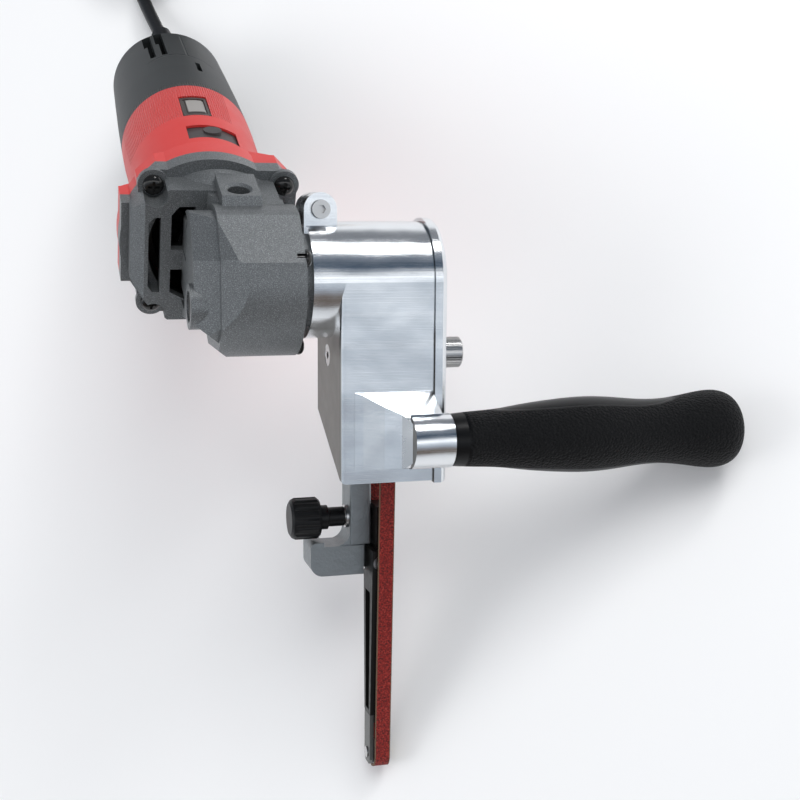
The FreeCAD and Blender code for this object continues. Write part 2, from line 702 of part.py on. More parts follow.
def head_section(radius, grow):
    """The head's outline in the YZ plane, grown outward: round above, flat in front and behind."""
    front = -radius
    back = 20.5 + grow
    bottom = HEAD_BOTTOM - grow
    over = Part.Arc(Vec(0, front, 0), Vec(0, 0, radius), Vec(0, radius, 0)).toShape()
    corners = [Vec(0, radius, 0), Vec(0, back, -26), Vec(0, back, -54.5 - grow), Vec(0, front + 3.1, bottom),
               Vec(0, front, bottom), Vec(0, front, 0)]
    return Part.Face(Part.Wire([over, Part.makePolygon(corners)]))


def head_solid(radius, grow, x0, x1):
    face = head_section(radius, grow)
    face.translate(Vec(x0, 0, 0))
    return face.extrude(Vec(x1 - x0, 0, 0))


def head_cavity(x0, x1):
    """The belt chamber, open at its right side and below."""
    inner = HEAD_RADIUS - WALL
    over = Part.Arc(Vec(x0, -inner, 0), Vec(x0, 0, inner), Vec(x0, inner, 0)).toShape()
    corners = [Vec(x0, inner, 0), Vec(x0, 17.5, -26), Vec(x0, 17.5, -90), Vec(x0, -inner, -90), Vec(x0, -inner, 0)]
    return Part.Face(Part.Wire([over, Part.makePolygon(corners)])).extrude(Vec(x1 - x0, 0, 0))


def grip_boss():
    """The boss in front of the housing that takes the side grip, faired into the front wall."""
    boss = rod_x(BOSS_RADIUS, 40.6, BOSS_END, BOSS_Y, BOSS_Z)
    side = prism_x([(-20, -40.4), (-24.5, -42.4), (-37.5, -49.2), (-44.0, -55.0), (-44.6, -62.0),
                    (-37.5, -68.4), (-24.5, -71.4), (-20, -72.0)], 22.0, 53.2)
    plan = prism([Vec(x, y, -80) for x, y in (
        (22.6, -20), (22.6, -22.7), (25.5, -24.6), (32.0, -31.4), (37.5, -36.0), (41.2, -40.6), (43.5, -46),
        (53.2, -46), (53.2, -20),
    )], Vec(0, 0, 45))
    return fuse([boss, side.common(plan)])


def head_housing():
    box = head_solid(HEAD_RADIUS, 0.0, HEAD_LEFT, HEAD_RIGHT)
    vertical = [edge for edge in box.Edges if abs(edge.BoundBox.XMin - HEAD_LEFT) < 0.01
                and abs(edge.BoundBox.XMax - HEAD_LEFT) < 0.01]
    box = box.makeFillet(2.2, vertical)
    collar = pipe_x(HEAD_RADIUS, 15.0, COLLAR_LEFT, HEAD_LEFT + 3.5)
    lug = fuse([
        rod(6.4, Vec(CLAMP_X, -8.4, CLAMP_Z), Vec(CLAMP_X, 8.4, CLAMP_Z)),
        block(CLAMP_X - 6.4, CLAMP_X + 6.4, -8.4, 8.4, 15.0, CLAMP_Z),
    ])
    body = fuse([box, collar, lug, grip_boss()])
    body = body.cut(head_cavity(HEAD_LEFT + 3.2, HEAD_RIGHT + 1))
    body = body.cut(rod_x(NECK_RADIUS + 0.06, COLLAR_LEFT - 2, HEAD_LEFT)).cut(rod_x(9.5, HEAD_LEFT - 1, 24))
    body = body.cut(block(0, HEAD_LEFT - 0.2, -0.8, 0.8, 16, 40))
    body = body.cut(rod(2.1, Vec(CLAMP_X, -12, CLAMP_Z), Vec(CLAMP_X, 12, CLAMP_Z)))
    body = body.cut(rod(3.7, Vec(CLAMP_X, -12, CLAMP_Z), Vec(CLAMP_X, -6.6, CLAMP_Z)))
    # Inside: a shelf for the guide rod and a channel for the slider.
    shelf = block(HEAD_LEFT + 1, 34.4, 3.4, 12.8, -23.5, -17.5)
    channel = block(HEAD_LEFT + 1, SLIDER_RIGHT - 0.1, -3.8, 18.6, -60.0, -48.0)
    channel = channel.cut(block(SLIDER_LEFT - 0.3, 50, -0.3, SLIDER_BACK + 0.3, -70, -40))
    inside = fuse([shelf, channel]).common(head_solid(HEAD_RADIUS, -0.5, HEAD_LEFT, HEAD_RIGHT))
    body = fuse([body, inside])
    body = body.cut(rod(2.42, Vec(ROD_X, ROD_Y, -30), Vec(ROD_X, ROD_Y, -19)))
    body = body.cut(rod_x(2.5, HEAD_LEFT - 1, 24, STUD_Y, STUD_Z))
    sink = at(frame(Vec(HEAD_LEFT, STUD_Y, STUD_Z), Y, X), lathe([(0, -0.1), (4.4, -0.1), (2.5, 2.2), (0, 2.2)]))
    body = body.cut(sink)
    return body.cut(rod_x(4.0, 43.0, BOSS_END + 1, BOSS_Y, BOSS_Z))


def clamp_screw():
    """An M4 socket-head screw across the collar's split."""
    head = rod(3.5, Vec(CLAMP_X, -10.4, CLAMP_Z), Vec(CLAMP_X, -6.6, CLAMP_Z))
    shank = rod(2.0, Vec(CLAMP_X, -6.8, CLAMP_Z), Vec(CLAMP_X, 8.0, CLAMP_Z))
    points = []
    for i in range(6):
        angle = math.radians(60 * i)
        points.append(Vec(CLAMP_X + 1.75 * math.cos(angle), -10.5, CLAMP_Z + 1.75 * math.sin(angle)))
    return fuse([head, shank]).cut(prism(points, Vec(0, 2.2, 0)))


def cover_stud():
    """A countersunk screw from the left wall through the chamber to the cover's nut."""
    body = lathe([(0, 0.1), (4.2, 0.1), (2.45, 2.2), (2.45, 52.3), (0, 52.3)])
    points = []
    for i in range(6):
        points.append(Vec(1.6 * math.cos(math.radians(60 * i)), 1.6 * math.sin(math.radians(60 * i)), -0.5))
    body = body.cut(prism(points, Vec(0, 0, 2.2)))
    return at(frame(Vec(HEAD_LEFT, STUD_Y, STUD_Z), Y, X), body)


def guide_rod():
    return rod(2.4, Vec(ROD_X, ROD_Y, -56.0), Vec(ROD_X, ROD_Y, -19.2))


def tension_spring():
    """The spring round the guide rod, at the length it has with the slider pushed in."""
    return at(FreeCAD.Placement(Vec(ROD_X, ROD_Y, 0), FreeCAD.Rotation()), coil_spring(3.4, 0.7, 7, -35.8, 12.0))


def grip_stud():
    return rod_x(3.95, 43.2, 92.0, BOSS_Y, BOSS_Z)


def grip_core():
    return at(frame(Vec(0, BOSS_Y, BOSS_Z), Y, X), lathe([
        (4.0, BOSS_END + 0.4), (8.2, BOSS_END + 0.4), (8.2, 64), (7.0, 66), (7.0, 168), (0, 168), (0, 92.2), (4.0, 92.2),
    ]))


def side_grip():
    """The rubber grip: slim at its root, swelling to a hand bulge, a waist and a domed flare."""
    body = smooth_lathe(GRIP_OUTLINE)
    hollow = lathe([(0, 56), (8.25, 56), (8.25, 64), (7.05, 66), (7.05, 168.1), (0, 168.1)])
    return at(frame(Vec(0, BOSS_Y, BOSS_Z), Y, X), body.cut(hollow))


def side_cover():
    """The lid over the belt chamber: a shallow pressed tray with a rolled rim."""
    slices = [head_solid(COVER_RADIUS, 0.7, HEAD_RIGHT + 0.2, COVER_FACE - 2.1)]
    steps = ((2.1, 0.0), (1.1, 0.4), (0.4, 1.1), (0.0, 2.1))
    for (back, inset), (next_back, next_inset) in zip(steps, steps[1:]):
        wires = []
        for rise, shrink in ((back, inset), (next_back, next_inset)):
            face = head_section(COVER_RADIUS - shrink, 0.7 - shrink)
            face.translate(Vec(COVER_FACE - rise, 0, 0))
            wires.append(face.OuterWire)
        slices.append(Part.makeLoft(wires, True, True))
    plate = fuse(slices)
    tray = head_solid(HEAD_RADIUS - WALL, -3.0, HEAD_RIGHT - 1, COVER_FACE - 2.4)
    return plate.cut(tray).cut(rod_x(2.75, 50, 62, STUD_Y, STUD_Z))


def cover_nut():
    body = lathe([(2.5, COVER_FACE + 0.3), (5.0, COVER_FACE + 0.3), (5.0, 61.4), (6.2, 61.8), (6.2, 70.9),
                  (5.6, NUT_END), (0, NUT_END), (0, 69.8), (2.5, 69.8)])
    groove = block(-0.22, 0.22, 5.85, 7.0, 61.0, 72.0)
    for cut in ring_of(40, groove, Vec(0, 0, 0), Z):
        body = body.cut(cut)
    return at(frame(Vec(0, STUD_Y, STUD_Z), Y, X), body)


# Belt arm -------------------------------------------------------------------------------


def belt_gap(z):
    """How far the belt's inner face is from the belt's middle plane at a height."""
    drive = DRIVE_RADIUS + BELT_CLEARANCE
    idler = IDLER_RADIUS + BELT_CLEARANCE
    return drive + (drive - idler) * z / CENTRE_DISTANCE


def belt_loop(offset):
    """The outline of the belt's path, a given distance outside its inner face."""
    drive = DRIVE_RADIUS + BELT_CLEARANCE + offset
    idler = IDLER_RADIUS + BELT_CLEARANCE + offset
    lean = math.asin((drive - idler) / CENTRE_DISTANCE)
    side, drop = math.cos(lean), math.sin(lean)

    def tangent(radius, centre_z, sign):
        return Vec(0, sign * radius * side, centre_z - radius * drop)

    top_front, top_back = tangent(drive, 0, -1), tangent(drive, 0, 1)
    tip_front, tip_back = tangent(idler, -CENTRE_DISTANCE, -1), tangent(idler, -CENTRE_DISTANCE, 1)
    over = Part.Arc(top_front, Vec(0, 0, drive), top_back).toShape()
    under = Part.Arc(tip_back, Vec(0, 0, -CENTRE_DISTANCE - idler), tip_front).toShape()
    edges = [over, Part.makeLine(top_back, tip_back), under, Part.makeLine(tip_front, top_front)]
    return Part.Face(Part.Wire(edges))


def sanding_belt():
    left = BELT_X - BELT_WIDTH / 2
    outer = belt_loop(BELT_THICKNESS).extrude(Vec(BELT_WIDTH, 0, 0))
    inner = belt_loop(0).extrude(Vec(BELT_WIDTH + 2, 0, 0))
    inner.translate(Vec(-1, 0, 0))
    belt = outer.cut(inner)
    belt.translate(Vec(left, 0, 0))
    return belt


def tension_slider():
    """The sprung casting: a shank in the head's channel, a finger hook and a lug for the arm."""
    shank = block(SLIDER_LEFT, SLIDER_RIGHT, 0, SLIDER_BACK, SLIDER_FOOT + 0.6, SLIDER_TOP)
    vertical = [edge for edge in shank.Edges if edge.BoundBox.ZLength > 30]
    shank = shank.makeFillet(1.0, vertical)
    web = block(SLIDER_LEFT - 5.5, SLIDER_LEFT + 1, 0.6, SLIDER_BACK - 0.6, -107.5, -101.5)
    web = web.cut(rod(5.5, Vec(SLIDER_LEFT - 5.5, -1, -101.5), Vec(SLIDER_LEFT - 5.5, 20, -101.5)))
    foot = fuse([
        block(10.2, 32.0, 0, SLIDER_BACK, HOOK_BOTTOM, SLIDER_FOOT),
        block(SLIDER_LEFT + 0.5, 32.0, 1.0, SLIDER_BACK - 1.0, SLIDER_FOOT - 1, SLIDER_FOOT + 1),
    ])
    hook = foot.fuse(block(10.2, 15.6, 0, SLIDER_BACK, -112, -105.2)).removeSplitter()
    for radius, highest in ((5.0, -115), (2.4, -100)):
        outer_edges = [edge for edge in hook.Edges if edge.BoundBox.YLength > 10
                       and edge.BoundBox.XMax < 10.3 and edge.BoundBox.ZMax < highest
                       and edge.BoundBox.ZMin > highest - 12]
        hook = hook.makeFillet(radius, outer_edges)
    lug = block(31.0, 41.0, 5.3, 8.5, -117.6, -104.2)
    body = fuse([shank, web, hook, lug])
    body = body.cut(rod(2.6, Vec(ROD_X, ROD_Y, -69), Vec(ROD_X, ROD_Y, SLIDER_TOP + 1)))
    body = body.cut(rod_x(3.05, 20, 36, KNOB_Y, KNOB_Z))
    return body.cut(rod(2.0, Vec(PIVOT_X, 0, PIVOT_Z), Vec(PIVOT_X, 12, PIVOT_Z)))


def arm_pivot_pin():
    head = rod(3.2, Vec(PIVOT_X, -6.6, PIVOT_Z), Vec(PIVOT_X, -5.4, PIVOT_Z))
    return fuse([head, rod(2.0, Vec(PIVOT_X, -5.6, PIVOT_Z), Vec(PIVOT_X, 8.4, PIVOT_Z))])


def tracking_washer():
    return pipe_x(4.6, 3.1, 25.3, SLIDER_LEFT - 0.05, KNOB_Y, KNOB_Z)


def belt_arm():
    """The black bar inside the belt, with a tongue for the tracking screw and a recessed side."""
    front_top, front_end = -(belt_gap(-108) - 1.3), -(belt_gap(ARM_END) - 1.3)
    bar = prism_x([(front_top, -107.8), (4.9, -107.8), (4.9, -118), (6.4, -119), (4.4, ARM_END), (front_end, ARM_END)],
                  ARM_LEFT, ARM_RIGHT)
    tongue = prism_x([(-5.0, -109), (-5.0, -90.5), (8.0, -90.5), (8.0, -103.6), (4.9, -103.9), (4.9, -109)],
                     SLIDER_RIGHT + 0.9, ARM_RIGHT)
    body = fuse([bar, tongue])
    body = body.cut(prism_x([(-4.2, -126), (3.4, -126), (2.4, -176), (-2.6, -176)], ARM_LEFT - 1, ARM_LEFT + 1.6))
    body = body.cut(block(ARM_LEFT - 1, ARM_LEFT + 1.9, -8, 8, ARM_END - 1, -177.6))
    body = body.cut(rod(2.05, Vec(PIVOT_X, -12, PIVOT_Z), Vec(PIVOT_X, 12, PIVOT_Z)))
    body = body.cut(rod(3.4, Vec(PIVOT_X, -12, PIVOT_Z), Vec(PIVOT_X, -5.3, PIVOT_Z)))
    return body


def idler_bracket():
    """The plate at the arm's left that carries the idler's axle."""
    plate = prism_x([(-4.3, -177.8), (4.2, -177.8), (4.2, -197.0), (2.6, -199.2), (-2.6, -199.2), (-4.3, -197.0)],
                    ARM_LEFT, ARM_LEFT + 1.7)
    return plate.cut(rod_x(1.5, 30, 45, 0, -CENTRE_DISTANCE))


def idler_axle():
    head = rod_x(2.3, ARM_LEFT - 0.5, ARM_LEFT, 0, -CENTRE_DISTANCE)
    return fuse([head, rod_x(1.5, ARM_LEFT - 0.2, 41.9, 0, -CENTRE_DISTANCE)])


def platen():
    """The spring-steel strip that backs the belt's working run."""
    z0, z1 = ARM_END + 1, -112.0
    outline = [(-(belt_gap(z) - inset), z) for z, inset in ((z0, 0.2), (z1, 0.2), (z1, 1.2), (z0, 1.2))]
    return prism_x(outline, BELT_X - 2.9, BELT_X + 2.9)


def idler_pulley():
    half = BELT_WIDTH / 2 - 0.25
    wheel = smooth_lathe([(IDLER_RADIUS - 0.12, -half), (IDLER_RADIUS, 0), (IDLER_RADIUS - 0.12, half)])
    wheel = wheel.cut(Part.makeCylinder(3.0, 20, Vec(0, 0, -10)))
    return at(frame(Vec(BELT_X, 0, -CENTRE_DISTANCE), Y, X), wheel)


def idler_bush():
    half = BELT_WIDTH / 2 - 0.25
    return pipe_x(3.0, 1.53, BELT_X - half, BELT_X + half, 0, -CENTRE_DISTANCE)


def tracking_knob():
    """The fluted knob and its stem."""
    body = lathe([(3.05, 4.2), (3.05, 24.9), (3.9, 24.9), (3.9, 18.4), (4.9, 18.0), (4.9, 15.0), (7.4, 14.6),
                  (KNOB_RADIUS, 13.4), (KNOB_RADIUS, 4.8), (7.7, 3.4), (6.4, 2.6), (0, 2.6), (0, 4.2)])
    flute = Part.makeCylinder(1.5, 20, Vec(0, KNOB_RADIUS + 0.95, 0))
    for cut in ring_of(14, flute, Vec(0, 0, 0), Z):
        body = body.cut(cut)
    return at(frame(Vec(0, KNOB_Y, KNOB_Z), Y, X), body)


def tracking_screw():
    return rod_x(3.0, 4.3, SLIDER_RIGHT + 0.35, KNOB_Y, KNOB_Z)


# Rest frame -----------------------------------------------------------------------------


def lowest(rim, normal):
    """The point of a rim that is furthest down, for a table with this normal."""
    centre, axis, radius = rim
    across = (normal - axis * normal.dot(axis)).normalize()
    return centre - across * radius


def rest_placement():
    """The placement in which the cap, the belt's tip and the grip's end all touch z = 0."""
    belt_edge = BELT_X + BELT_WIDTH / 2
    tip_radius = IDLER_RADIUS + BELT_CLEARANCE + BELT_THICKNESS
    contacts = [
        [(motor_point(0, 0, REAR_END - back), MOTOR_AXIS, REAR_RADIUS - inset)
         for back, inset in ((REAR_ROUND, 0.0), (1.2, 1.2), (0.0, REAR_ROUND))],
        [(Vec(belt_edge, 0, -CENTRE_DISTANCE), X, tip_radius)],
        [(Vec(x, BOSS_Y, BOSS_Z), X, radius) for radius, x in GRIP_OUTLINE],
    ]
    normal = Vec(-0.49, -0.76, 0.42).normalize()
    for _ in range(40):
        cap, tip, grip = [min((lowest(rim, normal) for rim in rims), key=normal.dot) for rims in contacts]
        normal = (grip - cap).cross(tip - cap).normalize()
        if normal.z < 0:
            normal = normal * -1
    y_axis = Z - normal * Z.dot(normal)
    on_table = frame(tip, y_axis.cross(normal), normal).inverse()
    return FreeCAD.Placement(REST_SHIFT, FreeCAD.Rotation()).multiply(on_table)


# Power cord -----------------------------------------------------------------------------


def boot_path():
    """The boot's centre line in the rest frame: an arc from the cap to the cord's first point."""
    start = REST.multVec(motor_point(CORD_EXIT_U, CORD_EXIT_V, REAR_END - 3.0))
    direction = REST.Rotation.multVec(MOTOR_AXIS)
    chord = CORD_ROUTE[0] - start
    side = (chord - direction * chord.dot(direction)).normalize()
    radius = chord.Length ** 2 / (2 * chord.dot(side))
    centre = start + side * radius
    half = math.asin(chord.Length / (2 * radius))
    middle = centre - side * (radius * math.cos(half)) + direction * (radius * math.sin(half))
    end_direction = direction * math.cos(2 * half) + side * math.sin(2 * half)
    return start, middle, CORD_ROUTE[0], direction, end_direction


def cord_boot():
    """The rubber strain relief, tapering along its bend."""
    start, middle, end, direction, end_direction = boot_path()
    spine = Part.Wire([Part.Arc(start, middle, end).toShape()])
    sections = [
        Part.Wire([Part.makeCircle(BOOT_RADIUS, start, direction)]),
        Part.Wire([Part.makeCircle(BOOT_END_RADIUS, end, end_direction)]),
    ]
    sleeve = spine.makePipeShell(sections, True, False)
    collar_start = start + direction * 3.1
    return fuse([sleeve, rod(BOOT_RADIUS + 0.8, collar_start, collar_start + direction * 3.0)])


def rounded_path(points, diameter):
    """Straight runs joined by tangent arcs; prints each arc's radius."""
    edges = []
    radii = []
    start = points[0]
    for before, corner, after in zip(points, points[1:], points[2:]):
        incoming = corner - before
        outgoing = after - corner
        half_turn = incoming.getAngle(outgoing) / 2
        trim = 0.45 * min(incoming.Length, outgoing.Length)
        radius = trim / math.tan(half_turn)
        incoming.normalize()
        outgoing.normalize()
        to_centre = (outgoing - incoming).normalize()
        first = corner - incoming * trim
        last = corner + outgoing * trim
        middle = corner + to_centre * (radius / math.cos(half_turn) - radius)
        edges += [Part.makeLine(start, first), Part.Arc(first, middle, last).toShape()]
        start = last
        radii.append(radius)
    edges.append(Part.makeLine(start, points[-1]))
    print("arc radii, mm:", [round(radius, 1) for radius in radii],
          "smallest in diameters:", round(min(radii) / diameter, 1))
    return Part.Wire(edges)


def cord_tube(points):
    path = rounded_path(points, CORD_DIAMETER)
    section = Part.Wire([Part.makeCircle(CORD_DIAMETER / 2, points[0], points[1] - points[0])])
    tube = path.makePipeShell([section], True, False)
    expected = path.Length * math.pi * (CORD_DIAMETER / 2) ** 2
    print("tube length, mm:", round(path.Length, 1), "volume ratio:", round(tube.Volume / expected, 4))
    return tube


def power_cord():
    return cord_tube(CORD_ROUTE)


def cord_tail():
    return cord_tube(TAIL_ROUTE)


def cord_coil():
    """The outer shape of the cord's coil, a ring lying on the table."""
    return Part.makeTorus(COIL_MEAN_RADIUS, COIL_TUBE_RADIUS, COIL_CENTRE, Z)


def plug_frame():
    """Where the tail ends: local z runs out through the plug's pins, and local x is up."""
    return frame(TAIL_ROUTE[-1], Z, TAIL_ROUTE[-1] - TAIL_ROUTE[-2])


def power_plug():
    """A moulded two-pin plug with its own tapered relief."""
    half_width, half_depth = 17.0, 8.3
    outline = [Vec(0, y, z) for y, z in (
        (-6.0, 16), (6.0, 16), (half_width - 3, 24), (half_width, 30), (half_width, 50),
        (-half_width, 50), (-half_width, 30), (-half_width + 3, 24),
    )]
    body = prism([point + Vec(-half_depth, 0, 0) for point in outline], Vec(2 * half_depth, 0, 0))
    body = body.makeFillet(2.6, body.Edges)
    return at(plug_frame(), fuse([body, lathe([(0, 0), (4.6, 0), (5.8, 18), (0, 18)])]))


def plug_pins():
    pins = []
    for y in (-9.5, 9.5):
        pin = Part.makeCylinder(2.4, 19.0, Vec(0, y, 50.0))
        tip = [edge for edge in pin.Edges if edge.BoundBox.ZMin > 68]
        pins.append(at(plug_frame(), pin.makeFillet(1.2, tip)))
    return Part.makeCompound(pins)


# The object's nodes by body, in the order in which they are made.
TOOL_PARTS = {
    "motor_unit": [motor_housing, rear_cover, gear_case, bearing_plate, gear_case_screws, bearing_plate_screws,
                   stator_core, stator_coils, brush_holders, carbon_brushes, brush_springs, brush_covers,
                   motor_bearings, rear_bearing_bridge, air_baffle, switch_block, cord_clamp, rear_cover_screws,
                   spindle_bearings, lock_spring],
    "rotor": [armature_shaft, armature_core, armature_windings, commutator, cooling_fan, pinion_gear],
    "spindle": [spindle_shaft, bevel_gear, drive_pulley, pulley_nut],
    "spindle_lock": [lock_button],
    "power_switch": [switch_slider],
    "sander_head": [head_housing, clamp_screw, cover_stud, guide_rod, tension_spring, grip_stud, grip_core,
                    side_grip, sanding_belt],
    "side_cover": [side_cover],
    "cover_nut": [cover_nut],
    "tension_slider": [tension_slider, arm_pivot_pin, tracking_washer],
    "belt_arm": [belt_arm, idler_bracket, idler_axle, platen],
    "idler": [idler_pulley, idler_bush],
    "tracking_knob": [tracking_knob, tracking_screw],
}

REST = rest_placement()


# Made in the rest frame, and fixed to the motor unit.
CORD_PARTS = [cord_boot, power_cord, cord_coil, cord_tail, power_plug, plug_pins]


def export(maker, shape):
    points, _ = shape.tessellate(0.1)
    low = min(point.z for point in points)
    print(maker.__name__, "valid" if shape.isValid() else "INVALID", len(shape.Solids), "solids, volume",
          round(shape.Volume), "low", round(low, 2))
    shape.exportStep("parts/" + maker.__name__ + ".step")


def main():
    os.makedirs("parts", exist_ok=True)
    for makers in TOOL_PARTS.values():
        for maker in makers:
            export(maker, at(REST, maker()))
    for maker in CORD_PARTS:
        export(maker, maker())


main()
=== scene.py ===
"""Looks of the handheld belt sander: camera, cord, finishes, small details, floor and light."""
import json
import math
import bpy
from mathutils import Matrix, Vector


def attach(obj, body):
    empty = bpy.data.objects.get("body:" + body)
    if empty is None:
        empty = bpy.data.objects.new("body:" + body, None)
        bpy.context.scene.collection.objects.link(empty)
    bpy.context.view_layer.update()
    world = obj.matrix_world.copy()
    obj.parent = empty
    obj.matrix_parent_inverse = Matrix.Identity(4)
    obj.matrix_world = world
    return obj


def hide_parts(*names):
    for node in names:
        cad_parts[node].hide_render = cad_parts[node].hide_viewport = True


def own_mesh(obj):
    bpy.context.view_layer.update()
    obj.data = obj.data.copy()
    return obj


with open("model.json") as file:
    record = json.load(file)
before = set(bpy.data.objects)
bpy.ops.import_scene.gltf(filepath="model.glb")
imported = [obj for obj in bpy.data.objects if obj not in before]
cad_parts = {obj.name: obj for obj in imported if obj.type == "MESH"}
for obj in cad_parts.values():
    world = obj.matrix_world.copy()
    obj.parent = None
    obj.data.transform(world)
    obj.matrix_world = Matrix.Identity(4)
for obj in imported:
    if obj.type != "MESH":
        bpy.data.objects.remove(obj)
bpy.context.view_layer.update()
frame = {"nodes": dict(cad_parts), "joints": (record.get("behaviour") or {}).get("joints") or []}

NODES = frame["nodes"]
JOINTS = {joint["name"]: joint for joint in frame["joints"]}
MM = 0.001
MM_PER_METRE = 1000.0

# The tool's own axes in the row frame, as its joints give them.
SPINDLE_AXIS = Vector(JOINTS["spindle_spin"]["axis"]).normalized()
ARM_UP = Vector(JOINTS["tension_slide"]["axis"]).normalized()
ARM_BACK = ARM_UP.cross(SPINDLE_AXIS).normalized()
SPINDLE_CENTRE = Vector(JOINTS["spindle_spin"]["pos_m"])
MOTOR_AXIS = Vector(JOINTS["rotor_spin"]["axis"]).normalized()
MOTOR_CENTRE = Vector(JOINTS["rotor_spin"]["pos_m"])
MOTOR_UP = SPINDLE_AXIS.cross(MOTOR_AXIS).normalized()


# Camera -----------------------------------------------------------------------------------

CAMERA_PLACE = Vector((0.2474, -0.1542, 0.5364))
CAMERA_LOOK = Vector((-0.3970, 0.2451, -0.8845))
CAMERA_UP = Vector((-0.0659, 0.9536, 0.2939))
CAMERA_LENS = 60.1
SENSOR_WIDTH = 36.0
NEAR_LIMIT = 0.01


def add_camera():
    """A camera looking steeply down on the tool, with the belt arm upright in its view."""
    data = bpy.data.cameras.new("camera")
    data.lens = CAMERA_LENS
    data.sensor_width = SENSOR_WIDTH
    data.clip_start = NEAR_LIMIT
    camera = bpy.data.objects.new("camera", data)
    bpy.context.scene.collection.objects.link(camera)
    back = -CAMERA_LOOK.normalized()
    right = CAMERA_UP.cross(back).normalized()
    up = back.cross(right)
    turn = Matrix((right, up, back)).transposed().to_4x4()
    camera.matrix_world = Matrix.Translation(CAMERA_PLACE) @ turn
    bpy.context.scene.camera = camera


# Power cord, in metres --------------------------------------------------------------------

CORD_DIAMETER = 0.007
CORD_ROUTE = [
    (-0.1641, 0.1826, 0.0106), (-0.1785, 0.1994, 0.0064),
    (-0.1940, 0.2207, 0.0037), (-0.2105, 0.2427, 0.0037),
]
TAIL_ROUTE = [
    (-0.1660, 0.3077, 0.0044), (-0.1430, 0.3102, 0.0085), (-0.1190, 0.3072, 0.0086),
]
CORD_ROUNDNESS = 5
CORD_STEPS = 6
CORD_ORDER = 3

COIL_CENTRE = Vector((-0.1809, 0.2664, 0.0106))
COIL_RADIUS = 0.038
COIL_START = 218.5
COIL_END = 100.0
COIL_TURNS = 7
COIL_SPACING = 0.0069
LAST_TURN_GAP = 0.003
POINTS_PER_TURN = 14
# Each turn keeps its place in the bundle for this part of itself, then moves over to the next.
KEEP_PART = 0.7
MOVE_PART = 0.3


def coil_points():
    """Seven turns in a hexagonal bundle, and the part turn that leads out to the tail."""
    half_height = COIL_SPACING * math.sqrt(3) / 2
    places = [
        (0.0, -COIL_SPACING),
        (-half_height, -COIL_SPACING / 2),
        (-half_height, COIL_SPACING / 2),
        (0.0, 0.0),
        (0.0, COIL_SPACING),
        (half_height, COIL_SPACING / 2),
        (half_height, -COIL_SPACING / 2),
        (half_height + LAST_TURN_GAP, -COIL_SPACING),
    ]
    sweep = 360.0 * COIL_TURNS + COIL_START - COIL_END
    count = round(sweep / 360.0 * POINTS_PER_TURN)
    points = []
    for i in range(1, count):
        turned = sweep * i / count
        turn, part = divmod(turned / 360.0, 1.0)
        ease = max(0.0, (part - KEEP_PART) / MOVE_PART)
        here, there = places[int(turn)], places[min(int(turn) + 1, COIL_TURNS)]
        out = here[0] + (there[0] - here[0]) * ease
        rise = here[1] + (there[1] - here[1]) * ease
        angle = math.radians(COIL_START - turned)
        radius = COIL_RADIUS + out
        offset = Vector((radius * math.cos(angle), radius * math.sin(angle), rise))
        points.append(COIL_CENTRE + offset)
    return points


def add_cord():
    """The cord from the boot to the plug, as one round curve."""
    curve = bpy.data.curves.new("mains_cord", "CURVE")
    curve.dimensions = "3D"
    # Every point carries the cord's radius in metres, so the curve's box is no larger than it.
    curve.bevel_depth = 1.0
    curve.bevel_resolution = CORD_ROUNDNESS
    curve.resolution_u = CORD_STEPS
    curve.use_fill_caps = True
    spline = curve.splines.new("NURBS")
    points = [Vector(p) for p in CORD_ROUTE] + coil_points() + [Vector(p) for p in TAIL_ROUTE]
    spline.points.add(len(points) - 1)
    for place, point in zip(spline.points, points):
        place.co = (*point, 1.0)
        place.radius = CORD_DIAMETER / 2
    spline.order_u = CORD_ORDER
    spline.use_endpoint_u = True
    cord = bpy.data.objects.new("mains_cord", curve)
    bpy.context.scene.collection.objects.link(cord)
    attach(cord, "motor_unit")
    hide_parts("power_cord", "cord_coil", "cord_tail")
    return cord


# Finishes ---------------------------------------------------------------------------------

# A Mix node's colour sockets, by number because their names are shared with its other sockets.
MIX_FIRST = 6
MIX_SECOND = 7
MIX_RESULT = 2


def fill_ramp(ramp, stops):
    """Gives a colour ramp its stops, each a position and a colour."""
    while len(ramp.elements) < len(stops):
        ramp.elements.new(0.5)
    for element, (position, color) in zip(ramp.elements, stops):
        element.position = position
        element.color = (*color, 1.0)


